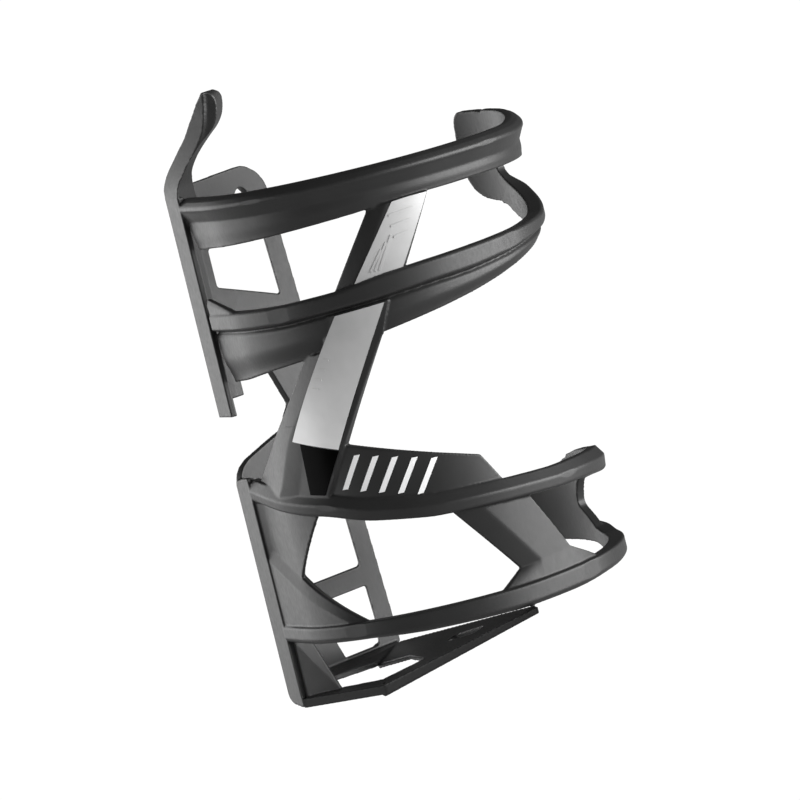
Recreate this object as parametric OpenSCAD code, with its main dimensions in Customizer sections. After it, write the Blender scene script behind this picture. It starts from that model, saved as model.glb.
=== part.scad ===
// Side-entry water bottle cage: a one-piece carbon-fibre moulding with two foil decals.
// Frame: origin on the rear mounting face, midway between the two frame bolts.
// +Z runs up along the bottle, +Y points from the mounting face to the bottle,
// +X is the closed side that the loops spring from. The far side (-X) is the open entry.

/* [Bottle] */
// Diameter of the bottle the cage holds
bottle_d = 74; // [73:0.5:75]
// Radial clearance between the bottle and the wall
bottle_clearance = 0.4; // [0.2:0.1:0.6]

/* [Mounting] */
// Distance between the two frame bolts
bolt_pitch = 64; // [64]
// Diameter of the frame bolts' clearance holes
bolt_hole_d = 5.3; // [5.2:0.1:5.6]
// Thickness of the flat mounting plate
plate_t = 1.8; // [1.6:0.1:2]
// Distance from the bolt line to the spine's rear edge
spine_x = 25.5; // [25:0.25:26]
// Depth of the spine's front edge
spine_d = 7; // [6.6:0.1:7.4]
// Thickness of the spine's outer flange
spine_wall = 1.6; // [1.4:0.1:1.8]

/* [Wall and loops] */
// Thickness of the wall that wraps the bottle
wall_t = 2.1; // [1.8:0.1:2.3]
// Height of the ribs above the wall
rib_h = 1.8; // [1.2:0.1:2]
// Height of the upper loop's top edge
upper_top_z = 37; // [36:0.5:38]
// Height of the lower band's top edge
band_top_z = -69; // [-70:0.5:-68]
// Direction where the straight wall turns into the round one, in degrees
tangent_a = -28; // [-30:1:-26]
// Direction of the line where the upper pair of loops flexes, in degrees
flex_a = 82; // [78:1:84]
// Direction of the line where the lower pair of loops flexes, in degrees
lower_flex_a = 90; // [89:1:92]
// Gap left at the flex lines
flex_gap = 0.3; // [0.3:0.05:0.4]
// Thickness of the foil decals
foil_t = 0.2; // [0.15:0.05:0.3]

/* [Hidden] */

wall_in = bottle_d / 2 + bottle_clearance;
wall_r = wall_in + wall_t;
axis_y = plate_t + wall_in + 0.1;
carbon = [0.16, 0.16, 0.17];
silver = [0.82, 0.83, 0.84];
gloss_black = [0.02, 0.02, 0.02];
print_white = [0.85, 0.85, 0.85];
step_a = 5;

// ---- the surface that the wall, loops and struts lie on ----

// Length of wall, in millimetres, that one degree of direction stands for
mm_per_deg = wall_r * PI / 180;

// A point of the shell: direction a (degrees from +X), offset out from the wall's
// outer face, height z. Below tangent_a the wall runs straight to the spine.
function shell(a, off, z) =
    let (turn = max(a, tangent_a),
         back = min(a - tangent_a, 0) * mm_per_deg,
         r = wall_r + off)
    [r * cos(turn) - back * sin(turn), axis_y + r * sin(turn) + back * cos(turn), z];

// Height read off a list of [direction, height] pairs, eased between them
function along(list, a, i = 0) =
    i >= len(list) - 1 ? list[len(list) - 1][1]
    : a <= list[i][0] ? list[i][1]
    : a < list[i + 1][0] ? list[i][1] + (list[i + 1][1] - list[i][1])
        * (a - list[i][0]) / (list[i + 1][0] - list[i][0])
    : along(list, a, i + 1);

function stations(a0, a1) =
    let (n = max(1, round((a1 - a0) / step_a)))
    [for (i = [0 : n]) a0 + (a1 - a0) * i / n];

// Triangles that close a ring of n points made of an outer row and an inner row read back
function strip(n) = [for (j = [0 : n / 2 - 2])
    each [[j, j + 1, n - 2 - j], [j, n - 2 - j, n - 1 - j]]];

// A closed skin through rings of points, capped at both ends: with one flat face each,
// or with a strip of triangles where the ring follows a curve
module skin(rings, curved = false) {
    n = len(rings[0]);
    last = len(rings) - 1;
    walls = [for (i = [0 : last - 1], j = [0 : n - 1])
        let (k = (j + 1) % n)
        each [[i * n + j, i * n + k, (i + 1) * n + j],
              [i * n + k, (i + 1) * n + k, (i + 1) * n + j]]];
    cap = curved ? strip(n) : [[for (j = [0 : n - 1]) j]];
    caps = [for (face = cap)
        each [[for (j = [len(face) - 1 : -1 : 0]) face[j]], [for (j = face) last * n + j]]];
    polyhedron(points = [for (r = rings) each r], faces = concat(walls, caps), convexity = 6);
}

// A loop: the profile [[offset, height], ...] is a function of the direction
module loop(a0, a1, profile) {
    skin([for (a = stations(a0, a1)) [for (p = profile(a)) shell(a, p[0], p[1])]]);
}

// Direction at which a line of the straight wall, offset by off, reaches depth y
function reach(y, off) =
    tangent_a + (y - axis_y - (wall_r + off) * sin(tangent_a)) / cos(tangent_a) / mm_per_deg;

// Distance from the bolt line of that line, at depth y
function straight_x(y, off) = (wall_r + off) / cos(tangent_a) - (y - axis_y) * tan(tangent_a);

// A panel of the wall between a top and a bottom line, each a function of a share u
// from the near edge (0) to the far edge (1) that gives [direction, height].
// bulge moves the middle of the near edge on by that many degrees.
module panel(top, bottom, out, in = -wall_t, nu = 4, nv = 6, bulge = 0) {
    us = [for (i = [0 : nu]) i / nu];
    skin([for (j = [0 : nv])
        let (v = j / nv,
             swell = bulge * sin(180 * v),
             line = [for (u = us) top(u) * (1 - v) + bottom(u) * v + [swell * (1 - u), 0]],
             outer = [for (i = [0 : nu]) shell(line[i][0], out(us[i]), line[i][1])],
             inner = [for (i = [nu : -1 : 0]) shell(line[i][0], in, line[i][1])])
        concat(outer, inner)], curved = true);
}

// A piece of the plain wall whose outline, [[direction, height], ...], is cut straight
// through along the direction mid_a
module wall_cut(mid_a, outline, thickness) {
    flat = [for (p = outline) [wall_r * sin(p[0] - mid_a), p[1]]];
    zs = [for (p = outline) p[1]];
    low = min(zs) - 1;
    translate([0, axis_y, 0]) intersection() {
        translate([0, 0, low]) difference() {
            cylinder(r = wall_r, h = max(zs) - low + 1, $fn = 180);
            translate([0, 0, -1]) cylinder(r = wall_r - thickness, h = max(zs) - low + 3, $fn = 180);
        }
        rotate([0, 0, mid_a]) rotate([90, 0, 90]) linear_extrude(60) polygon(flat);
    }
}

// ---- edges of the loops, as heights against direction ----
UPPER_BOTTOM = [[-62, 24.4], [-28, 24.8], [0, 25.5], [35, 26.8], [53, 27.7], [180, 28]];
UPPER_TOP = [[-62, 37], [112, 37], [130, 37.9], [145, 38.9], [160, 39.4], [180, 39.8]];
SECOND_TOP = [[-62, 8.6], [0, 8.9], [22, 9.6], [40, 11.4], [55, 12], [82, 12.7],
    [98, 13.1], [120, 14.2], [135, 16.5], [143, 18.2], [150, 20]];
SECOND_GROOVE = [[-62, 3.9], [0, 4.1], [21, 5], [40, 5.7], [56, 6.5], [71, 6.9], [90, 8.1],
    [118, 10.5], [152, 15]];
SECOND_BOTTOM = [[-62, -8.4], [-32, -8], [-14, -5.7], [0, -5.4], [35, -2.2], [53, -0.4],
    [71, 1.6], [90, 4.2], [102, 5.9], [118, 7.7], [135, 9.1], [152, 12.8]];
RIM_TOP = [[-62, -31.5], [-40, -33.6], [-20, -35.6], [0, -37.5], [15, -40.1], [37.5, -42.4],
    [64, -43.2], [86, -43.9], [103, -43.9], [128, -44.3], [140, -45.2], [152, -45.8]];
RIM_H = 5.2;
BAND_TOP = [[-62, 0], [60, 0], [93, 0.9], [114, 1.6], [122, 1.9], [144, 2.5], [151, 4.1]];
BAND_H = [[-62, 4], [5, 4.1], [25, 4.8], [60, 5.2],
    [85, 5.1], [100, 4.6], [151, 4.2]];

function upper_top(a) = along(UPPER_TOP, a) + upper_top_z - 37;
function upper_bottom(a) = along(UPPER_BOTTOM, a);
function second_top(a) = along(SECOND_TOP, a);
function second_bottom(a) = along(SECOND_BOTTOM, a);
function rim_top(a) = along(RIM_TOP, a);
function rim_bottom(a) = rim_top(a) - RIM_H - max(0, a - 118) * 0.055;
function low_top(a) = band_top_z + along(BAND_TOP, a);
function low_bottom(a) = low_top(a) - along(BAND_H, a);

// The spine's flange lies on the straight wall: the ribs run into it flush
spine_off = (spine_x - tan(tangent_a) * axis_y) * cos(tangent_a) - wall_r;
flange_in = spine_off - spine_wall;
root_a = reach(spine_d, spine_off);
function rib(a) = spine_off + (rib_h - spine_off) * min(1, (a - root_a) / 18);

// ---- profiles of the loops, listed counterclockwise seen along the loop ----
upper_profile = function (a)
    [[-wall_t, upper_bottom(a)], [-0.2, upper_bottom(a)], [0.2, upper_top(a) - 5.6],
     [rib(a), upper_top(a) - 2.6], [rib(a), upper_top(a) - 2.1], [0.2, upper_top(a)],
     [-wall_t, upper_top(a)]];
second_profile = function (a)
    let (groove = along(SECOND_GROOVE, a),
         foot = second_bottom(a))
    [[-wall_t, foot], [-1.2, foot], [0.3, foot + (groove - foot) * 0.45],
     [0.3, groove - 0.5], [-0.4, groove], [rib(a), groove + 0.7],
     [rib(a), second_top(a) - 0.5], [rib(a) - 0.5, second_top(a)], [-wall_t, second_top(a)]];
rim_profile = function (a)
    [[-wall_t, rim_bottom(a)], [rib(a) - 0.6, rim_bottom(a)], [rib(a), rim_top(a) - 2.6],
     [0.3, rim_top(a)], [-wall_t, rim_top(a)]];
band_profile = function (a)
    [[-wall_t, low_bottom(a)], [rib(a) - 0.5, low_bottom(a)], [rib(a), low_bottom(a) + 0.5],
     [rib(a), low_top(a) - 0.3], [rib(a) - 0.3, low_top(a)], [-wall_t, low_top(a)]];

// Each loop is cut half a gap on either side of its flex line
gap_a = flex_gap / mm_per_deg / 2;
upper_fixed_end = flex_a - gap_a;
upper_arm_start = flex_a + gap_a;
lower_fixed_end = lower_flex_a - gap_a;
lower_arm_start = lower_flex_a + gap_a;

web_start = 151;

module upper_loop() { color(carbon) loop(root_a, upper_fixed_end, upper_profile); }
module upper_loop_arm() { color(carbon) loop(upper_arm_start, web_start, upper_profile); }
module second_loop() { color(carbon) loop(root_a, upper_fixed_end, second_profile); }
module second_loop_arm() { color(carbon) loop(upper_arm_start, web_start, second_profile); }
module lower_rim() { color(carbon) loop(root_a, lower_fixed_end, rim_profile); }
module lower_rim_arm() { color(carbon) loop(lower_arm_start, web_start, rim_profile); }
module lower_band() { color(carbon) loop(root_a, lower_fixed_end, band_profile); }
module lower_band_arm() { color(carbon) loop(lower_arm_start, web_start, band_profile); }

// ---- struts and walls on the shell ----

// Share of the strut's width where its narrow near facet meets its broad face
crease = 0.31;
strut_out = function (u) u < crease ? -0.9 + 1.6 * u / crease : 0.7;
flat_out = function (u) 0;

module upper_strut() {
    top = function (u) let (a = 40.2 + 21.8 * u) [a, upper_bottom(a)];
    bottom = function (u) let (a = 21 + 26.5 * u) [a, second_top(a)];
    color(carbon) panel(top, bottom, strut_out, nu = 6, nv = 6);
}

module diagonal_strut() {
    top = function (u) let (a = 3.5 + 31.8 * u) [a, second_bottom(a)];
    bottom = function (u) let (a = -47 + 48 * u) [a, rim_top(a)];
    color(carbon) panel(top, bottom, strut_out, nu = 6, nv = 12, bulge = 4.5);
}

// Part of the diagonal strut that runs on over the second loop's lower wall
module strut_cap() {
    top = function (u) let (a = 17 + 23 * u) [a, along(SECOND_GROOVE, a) - 0.5];
    bottom = function (u) let (a = 12.8 + 22.5 * u) [a, second_bottom(a)];
    color(carbon) panel(top, bottom, function (u) 0.7, 0.32, 5, 4);
}

module label_wall() {
    top = function (u) [12.6 + 45.4 * u, -26.7 - 9.4 * u];
    bottom = function (u) let (a = 1.3 + 63.3 * u) [a, rim_top(a)];
    color(carbon) panel(top, bottom, flat_out, nu = 10, nv = 5);
}

// Wall between the rim and the lower band, beside the spine
module side_wall() {
    top = function (u) let (a = root_a + (-root_a - 6) * u) [a, rim_bottom(a)];
    middle = function (u) [root_a + (-root_a - 26.5) * u, -57];
    bottom = function (u) let (a = root_a + (-root_a + 5) * u) [a, low_top(a)];
    color(carbon) union() {
        panel(top, middle, flat_out, nu = 8, nv = 3);
        panel(middle, bottom, flat_out, nu = 8, nv = 3);
    }
}

module lower_strut() {
    knee_z = -65;
    top = function (u) let (a = 42.8 + 28.7 * u) [a, rim_bottom(a)];
    knee = function (u) [63.2 + 21.2 * u, knee_z + 1.6 * u];
    foot = function (u) let (a = 54 + (lower_flex_a - 56) * u) [a, low_top(a)];
    out = function (u) u < 0.33 ? -1.2 + 1.6 * u / 0.33 : 0.4;
    color(carbon) union() {
        panel(top, knee, out, nu = 6, nv = 6);
        panel(knee, foot, out, nu = 6, nv = 2);
    }
}

module upper_end_web() {
    outline = [[web_start, 39], [web_start, 30], [156, 28], [158.5, 26], [156, 23.6],
        [web_start, 20.8], [web_start, 13.4], [153.7, 13.8],
        [155.4, 15], [156.5, 16.2], [164.8, 17], [169.6, 17.8], [172.6, 19], [174.8, 20.4],
        [176.3, 22], [177.4, 24], [177.9, 27], [178, 33], [177.4, 37], [176.4, 38.7],
        [174.6, 39.6], [165, 39.4], [158, 39.3]];
    color(carbon) wall_cut(web_start, outline, wall_t - 0.3);
}

module lower_end_web() {
    outline = [[web_start, -46], [web_start, -52.2], [155.3, -53.6], [158.2, -56.6],
        [159.1, -59], [157.6, -60.6], [153.6, -62.6], [web_start, -64.7], [web_start, -69],
        [157, -68.6], [173, -67.8], [184, -67.4], [186.5, -65.5], [187.5, -62], [187, -58],
        [184, -55], [176, -52], [167, -49.3], [162.5, -47.6], [157.5, -46.2]];
    color(carbon) wall_cut(web_start, outline, wall_t - 0.3);
}

// Raised triangle that thickens the second loop's root
module loop_gusset() {
    top = function (u) [root_a + 22 * u, 11.4 - 2.6 * u];
    bottom = function (u) let (a = root_a + 22 * u) [a, second_top(a)];
    color(carbon) panel(top, bottom, function (u) 1, -0.3, 1, 1);
}

// Raised wedge above the lower band's root
module band_gusset() {
    top = function (u) [root_a + 46 * u, -52.6 - 16 * u];
    bottom = function (u) let (a = root_a + 46 * u) [a, low_top(a)];
    color(carbon) panel(top, bottom, function (u) 0.2 + 0.8 * min(1, 5 * u), 0.06, 8, 1);
}

// ---- flat mounting frame ----
module plate(points) {
    rotate([90, 0, 0]) translate([0, 0, -plate_t]) linear_extrude(plate_t) polygon(points);
}

module bolt_hole(z) {
    translate([0, -1, z]) rotate([-90, 0, 0]) cylinder(d = bolt_hole_d, h = plate_t + 2, $fn = 48);
}

// Edges of the far side bar at a height
function bar_near(z) = -4.4 - 0.0625 * (24 - z);
function bar_far(z) = -10.8 - 0.066 * (24 - z);
near_x = 16.6;
foot_z = -83.5;
flange_back = straight_x(plate_t, flange_in);
ear_top = 39.7;
ear_bottom = 22.9;
corner_r = 9;

module upper_mount() {
    corner = [for (t = [0 : 15 : 90])
        [-1.8 - corner_r * sin(t), ear_top - corner_r + corner_r * cos(t)]];
    color(carbon) difference() {
        plate(concat([[near_x, ear_top - 0.4]], corner,
            [[bar_far(ear_bottom), ear_bottom], [near_x, ear_bottom]]));
        bolt_hole(bolt_pitch / 2);
    }
}

module upper_side_bar() {
    foot = -10;
    color(carbon) plate([[bar_near(ear_bottom), ear_bottom], [bar_far(ear_bottom), ear_bottom],
        [bar_far(foot), foot], [bar_near(foot), foot]]);
}

module cross_web() {
    color(carbon) plate([[near_x, 13.4], [bar_near(6.8), 6.8], [bar_near(-10), -10],
        [4.6, -10], [near_x, -6]]);
}

module flange_cut() {
    translate([0, 0, -95]) linear_extrude(150) polygon(flange);
}

module lower_mount() {
    color(carbon) difference() {
        plate([[4.6, -10], [bar_far(-10), -10], [bar_far(-46), -46], [flange_back, -46],
            [flange_back, -30.2], [20.4, -28], [11, -25.9], [5.5, -24.6], [0.4, -19.3]]);
        bolt_hole(-bolt_pitch / 2);
        flange_cut();
    }
}

module lower_side_bar() {
    foot = foot_z;
    color(carbon) plate([[bar_near(-46), -46], [bar_far(-46), -46], [bar_far(foot), foot],
        [bar_near(foot) - 1.5, foot], [bar_near(-77), -77]]);
}

module brace_bar() {
    color(carbon) difference() {
        plate([[flange_back, -62.8], [bar_near(-62.8), -62.8], [bar_near(-67.8), -67.8],
            [flange_back, -67.8]]);
        flange_cut();
    }
}

module corner_panel() {
    color(carbon) difference() {
        plate([[flange_back, -67.8], [11.2, -67.8], [5.7, -77.7], [3.1, foot_z],
            [flange_back, foot_z]]);
        flange_cut();
    }
}

// Where the spine's front edge meets the wall's line offset by off, seen from above
function front(off) = let (p = shell(root_a, off, 0)) [p[0], p[1]];

// The spine's slanted outer flange, seen from above
flange = [[spine_x, 0], front(spine_off), front(flange_in), [straight_x(0, flange_in), 0]];
groove_x = spine_x - 4.7;
groove_floor = 1.2;
spine_foot = -17;
land_foot = -13.4;

// Stands an outline up from height z to the spine's top
module upright(z) {
    translate([0, 0, z]) linear_extrude(upper_top_z - z) children();
}

module upper_spine() {
    channel = [[groove_x, 0], [groove_x, groove_floor],
        [straight_x(groove_floor, flange_in), groove_floor], flange[3]];
    land = [[groove_x, 0], [groove_x, groove_floor], [groove_x - 1.6, plate_t],
        [near_x, plate_t], [near_x, 0]];
    color(carbon) union() {
        upright(spine_foot) polygon(flange);
        upright(spine_foot) polygon(channel);
        upright(land_foot) polygon(land);
    }
}

module lower_spine() {
    side = [[0, -32.6], [0, -87.4], [spine_d + 1, -88.7], [spine_d + 1, -32.2], [2, -31.4]];
    color(carbon) intersection() {
        translate([0, 0, -95]) linear_extrude(70) polygon(flange);
        translate([15, 0, 0]) rotate([90, 0, 90]) linear_extrude(20) polygon(side);
    }
}

// Lip that snaps over the bottle's shoulder. Each row: depth and height of the outer
// face's rear edge, then of its front edge, how far that edge stands out, and the x of
// the lip's inner side.
TAB = [[0, 37, 6.9, 37, 3.7, 17.4], [0.4, 40.2, 7.8, 40.4, 3.1, 18.6],
    [2.4, 43.3, 9.8, 43.1, 2.4, 20.6], [6.2, 47.1, 12.7, 46.4, 1.6, 21],
    [10.4, 51.1, 15.8, 49.9, 0.8, 20.2], [12.6, 53.8, 17.4, 52.5, 0.5, 18.8],
    [14.8, 56.4, 18.4, 55.3, 0.3, 18.2], [17, 59.1, 19.1, 58.6, 0, 19.6],
    [18.8, 61.2, 19.6, 60.9, 0, 20.6]];

module retaining_tab() {
    color(carbon) skin([for (r = TAB)
        [[spine_x, r[0], r[1]], [r[5], r[0], r[1]], [r[5], (r[0] + 3 * r[2]) / 4 - r[4] * 0.6,
         r[3]], [spine_x + r[4], r[2], r[3]]]]);
}

// ---- floor under the bottle ----
floor_t = 2.3;
tongue_t = 1.2;
slot_d = 3.4;
rail_z = -87.1;
rail_in = 18.2;
edge_in = spine_x - 2.4;

// Height of the sloping floor's upper face
function floor_z(x, y) = -87.9 - 0.249 * x + 0.239 * y;

// A slab of thickness t hanging below the given top points
module sheet(top, t) {
    skin([top, [for (p = top) p - [0, 0, t]]]);
}

module floor_rail() {
    back = front(flange_in);
    color(carbon) sheet([[each front(spine_off - 0.2), rail_z], [spine_x, 29.9, rail_z],
        [rail_in, 23.9, -86.7], [rail_in, 8, rail_z - 0.3],
        [back[0] - 1.5, back[1], rail_z], [each back, rail_z]], floor_t);
}

module floor_rear() {
    color(carbon) sheet([[bar_far(foot_z), 0, foot_z], [flange[3][0], 0, foot_z],
        [flange_back, plate_t, foot_z], [rail_in, 8, -84.6], [0, 7.4, -85.4],
        [-14.5, 4.7, -83.6]], tongue_t);
}

module floor_edge() {
    start = [[spine_x, 30, 0], [edge_in, 30, 0], [edge_in, 30, 2.8], [spine_x, 30, 2.8]];
    tip = [[20.4, 78.5, 0], [18, 75.4, 0], [18, 75.4, 2], [20.4, 78.5, 1.6]];
    color(carbon) skin([for (ring = [start, tip])
        [for (p = ring) [p[0], p[1], floor_z(p[0], p[1]) - p[2]]]]);
}

module floor_tongue() {
    outline = [[edge_in, 30], [18, 75.4], [15.8, 71.5], [-14.2, 4.9], [-0.5, 7.5],
        [6.5, 24.2], [17.6, 38.1], [rail_in, 24]];
    color(carbon) difference() {
        sheet([for (p = outline) [p[0], p[1], floor_z(p[0], p[1])]], tongue_t);
        hull() {
            for (p = [[10, 42], [14, 53]]) {
                translate([p[0], p[1], -90]) cylinder(d = slot_d, h = 20, $fn = 32);
            }
        }
    }
}

// Upright gusset in the corner between spine and floor
module floor_gusset() {
    start = [front(flange_in), front(flange_in) - [0.55, 1]];
    top = [start[0], [24, 9.2], [22.8, 8.2], start[1]];
    foot = [start[0], [19.6, 11.6], [18.4, 10.6], start[1]];
    color(carbon) skin([[for (p = top) [p[0], p[1], -73]],
        [for (p = foot) [p[0], p[1], rail_z]]]);
}

// ---- foils and print ----
foil_bed = 0.8;
foil_face = function (u) foil_bed + foil_t;

module upper_foil() {
    top = function (u) let (a = 48.3 + 13 * u) [a, upper_bottom(a) - 0.2];
    bottom = function (u) let (a = 30.2 + 16.8 * u) [a, second_top(a) + 0.2];
    color(silver) panel(top, bottom, foil_face, foil_bed, 4, 8);
}

module lower_foil() {
    top = function (u) let (a = 20.5 + 17.7 * u) [a, along(SECOND_GROOVE, a) - 0.7];
    bottom = function (u) [-9 + 18.8 * u, -23.6 - 3.6 * u];
    color(silver) panel(top, bottom, foil_face, foil_bed, 4, 10);
}

module black_foil() {
    top = function (u) [-5.6 + 15.4 * u, -24.5 - 3.1 * u];
    bottom = function (u) [-6.6 + 6.6 * u, -36.9 - 0.6 * u];
    color(gloss_black) panel(top, bottom, foil_face, foil_bed, 4, 6);
}

bar_count = 5;

module label_print() {
    for (i = [0 : bar_count - 1]) {
        start = 7 + 6.6 * i;
        top = function (u) [start + 7.6 + 2.2 * u, -29.4 - 1.15 * i];
        bottom = function (u) [start + 2.2 * u, -37 - 1.15 * i];
        color(print_white) panel(top, bottom, function (u) 0.12, 0.02, 1, 3);
    }
}

upper_mount();
upper_spine();
upper_side_bar();
cross_web();
lower_mount();
lower_side_bar();
lower_spine();
brace_bar();
corner_panel();
retaining_tab();
upper_loop();
upper_loop_arm();
second_loop();
second_loop_arm();
upper_end_web();
loop_gusset();
upper_strut();
diagonal_strut();
side_wall();
label_wall();
lower_rim();
lower_rim_arm();
lower_band();
lower_band_arm();
lower_end_web();
band_gusset();
lower_strut();
strut_cap();
floor_rail();
floor_rear();
floor_tongue();
floor_edge();
floor_gusset();
upper_foil();
lower_foil();
black_foil();
label_print();
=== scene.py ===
import math
import bmesh
import bpy
import numpy as np
from mathutils import Matrix, Vector


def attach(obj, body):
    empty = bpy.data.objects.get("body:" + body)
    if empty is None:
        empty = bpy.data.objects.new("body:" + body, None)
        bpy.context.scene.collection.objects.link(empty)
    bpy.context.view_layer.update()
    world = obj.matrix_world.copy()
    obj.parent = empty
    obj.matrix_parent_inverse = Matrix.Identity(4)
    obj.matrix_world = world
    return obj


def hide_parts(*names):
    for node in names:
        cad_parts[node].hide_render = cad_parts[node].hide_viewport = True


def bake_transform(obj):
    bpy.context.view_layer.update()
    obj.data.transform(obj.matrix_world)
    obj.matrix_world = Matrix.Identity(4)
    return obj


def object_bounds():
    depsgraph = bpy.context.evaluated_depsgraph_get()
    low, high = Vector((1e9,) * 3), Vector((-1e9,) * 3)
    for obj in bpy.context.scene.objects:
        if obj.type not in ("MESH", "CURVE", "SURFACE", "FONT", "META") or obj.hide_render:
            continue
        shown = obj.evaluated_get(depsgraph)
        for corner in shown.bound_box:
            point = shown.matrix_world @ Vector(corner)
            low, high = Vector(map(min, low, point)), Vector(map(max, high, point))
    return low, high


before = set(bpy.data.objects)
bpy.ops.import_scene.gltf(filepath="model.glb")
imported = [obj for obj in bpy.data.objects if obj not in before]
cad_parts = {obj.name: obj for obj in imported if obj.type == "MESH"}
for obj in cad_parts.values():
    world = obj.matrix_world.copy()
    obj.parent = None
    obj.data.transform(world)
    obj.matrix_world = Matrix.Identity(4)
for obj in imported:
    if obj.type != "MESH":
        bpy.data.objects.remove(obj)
cad_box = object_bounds()

# ---------------------------------------------------------------- sizes, millimetres
MM = 0.001
WALL_T = 2.1
WALL_R = 39.5
AXIS_Y = 39.3
PLATE_T = 1.8
SPINE_X = 25.5
SPINE_D = 7.0
SPINE_WALL = 1.6
RIB_H = 1.8
TANGENT_A = -28.0
MM_PER_DEG = math.radians(WALL_R)
LOOP_END = 160.0
SINK = 0.7         # how far a member reaches into its neighbour
VOXEL = 0.25       # cell of the grid that fuses the members
RELAX_ROUNDS = 9   # smoothing rounds after the fusing
SPLIT_Z = -20.0    # where the moulding is parted into an upper and a lower half

# ---------------------------------------------------------------- camera
VIEW_AZ = math.radians(40.0)
VIEW_EL = math.radians(5.5)
VIEW_ROLL = math.radians(13.9)
VIEW_DISTANCE = 2.4
FRAME_WIDTH = 0.1923
TARGET_RIGHT = -0.00322
TARGET_UP = -0.0225


def make_camera():
    right = Vector((-math.sin(VIEW_AZ), math.cos(VIEW_AZ), 0.0))
    back = Vector((math.cos(VIEW_AZ) * math.cos(VIEW_EL),
                   math.sin(VIEW_AZ) * math.cos(VIEW_EL), math.sin(VIEW_EL)))
    up = back.cross(right)
    target = Vector((0, AXIS_Y, 0)) * MM + right * TARGET_RIGHT + up * TARGET_UP
    cam_right = right * math.cos(VIEW_ROLL) - up * math.sin(VIEW_ROLL)
    cam_up = right * math.sin(VIEW_ROLL) + up * math.cos(VIEW_ROLL)
    cam = bpy.data.objects.new("camera", bpy.data.cameras.new("camera"))
    bpy.context.scene.collection.objects.link(cam)
    cam.data.sensor_width = 36.0
    cam.data.lens = cam.data.sensor_width * VIEW_DISTANCE / FRAME_WIDTH
    cam.data.clip_end = 60.0
    place = Matrix((cam_right, cam_up, back)).transposed().to_4x4()
    place.translation = target + back * VIEW_DISTANCE
    cam.matrix_world = place
    bpy.context.scene.camera = cam


# ---------------------------------------------------------------- the wall's surface
def shell(a, off, z):
    """Points of the wall: direction a in degrees from +X, offset out from it, height z."""
    a, off, z = np.broadcast_arrays(np.asarray(a, float), off, z)
    turn = np.radians(np.maximum(a, TANGENT_A))
    back = np.minimum(a - TANGENT_A, 0) * MM_PER_DEG
    r = WALL_R + off
    return np.stack([r * np.cos(turn) - back * np.sin(turn),
                     AXIS_Y + r * np.sin(turn) + back * np.cos(turn), z], -1)


def straight_x(y, off):
    """Distance from the bolt line, at depth y, of the straight wall offset by off."""
    t = math.radians(TANGENT_A)
    return (WALL_R + off) / math.cos(t) - (y - AXIS_Y) * math.tan(t)


def reach(y, off):
    """Direction at which the straight wall, offset by off, reaches depth y."""
    t = math.radians(TANGENT_A)
    return TANGENT_A + (y - AXIS_Y - (WALL_R + off) * math.sin(t)) / math.cos(t) / MM_PER_DEG


def smooth(x):
    x = np.clip(x, 0, 1)
    return x * x * (3 - 2 * x)


# the spine's outer flange lies on the straight wall
TANGENT = math.radians(TANGENT_A)
SPINE_OFF = (SPINE_X - math.tan(TANGENT) * AXIS_Y) * math.cos(TANGENT) - WALL_R
FLANGE_IN = SPINE_OFF - SPINE_WALL
ROOT_A = reach(SPINE_D, SPINE_OFF)

# edges of the loops: (direction, height)
UPPER_BOTTOM = [(-62, 24.2), (-28, 24.6), (0, 25.4), (35, 26.7), (53, 27.7), (180, 28.0)]
UPPER_TOP = [(-62, 37), (112, 37), (130, 37.9), (145, 38.9), (160, 39.4), (180, 39.8)]
SECOND_TOP = [(-62, 8.6), (0, 8.9), (22, 9.6), (40, 11.4), (55, 12), (82, 12.7), (98, 13.1),
              (120, 14.2), (135, 16.5), (143, 18.2), (152, 20.8), (158, 23.6)]
SECOND_GROOVE = [(-62, 3.9), (0, 4.1), (21, 5), (40, 5.7), (56, 6.5), (71, 6.9), (90, 8.1),
                 (118, 10.5), (152, 15), (158, 17.5)]
SECOND_BOTTOM = [(-62, -8.6), (-42, -8.6), (-32, -8), (-14, -6.4), (0, -5.4), (35, -2.3), (53, -0.5),
                 (71, 1.5), (90, 4), (102, 5.7), (118, 7.6), (135, 9), (152, 13), (156, 15.8), (160, 16.8)]
RIM_TOP = [(-62, -31.5), (-40, -33.6), (-20, -35.6), (0, -37.5), (15, -40.1), (37.5, -42.4),
           (64, -43.2), (86, -43.9), (103, -43.9), (128, -44.3), (140, -45.2), (152, -45.8), (160, -47)]
BAND_TOP = [(-62, -69), (60, -69), (93, -68.1), (114, -67.4), (122, -67.1), (144, -66.5), (151, -64.9),
            (160, -63)]
BAND_H = [(-62, 4), (5, 4.1), (25, 4.8), (60, 5.2), (85, 5.1), (100, 4.6), (151, 4.2), (160, 5.5)]


def eased(table):
    """The table as a smooth function of the direction."""
    grid = np.arange(-66, 184, 1.0)
    kernel = np.hanning(11)
    kernel /= kernel.sum()
    values = np.interp(grid, *zip(*table))
    values = np.convolve(np.pad(values, 5, mode="edge"), kernel, "valid")
    return lambda a: np.interp(a, grid, values)


upper_bottom, upper_top = eased(UPPER_BOTTOM), eased(UPPER_TOP)
second_top, second_groove, second_bottom = eased(SECOND_TOP), eased(SECOND_GROOVE), eased(SECOND_BOTTOM)
rim_top, band_top, band_h = eased(RIM_TOP), eased(BAND_TOP), eased(BAND_H)


def rim_bottom(a):
    return rim_top(a) - 5.2 - np.maximum(0, np.asarray(a) - 118) * 0.055


def band_bottom(a):
    return band_top(a) - band_h(a)


def rib(a):
    height = SPINE_OFF + (RIB_H - SPINE_OFF) * smooth((a - ROOT_A) / 18)
    return height * (1 - smooth((a - 149) / 10)) + 0.12


# ---------------------------------------------------------------- solids, as points and faces
solids = []


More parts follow.
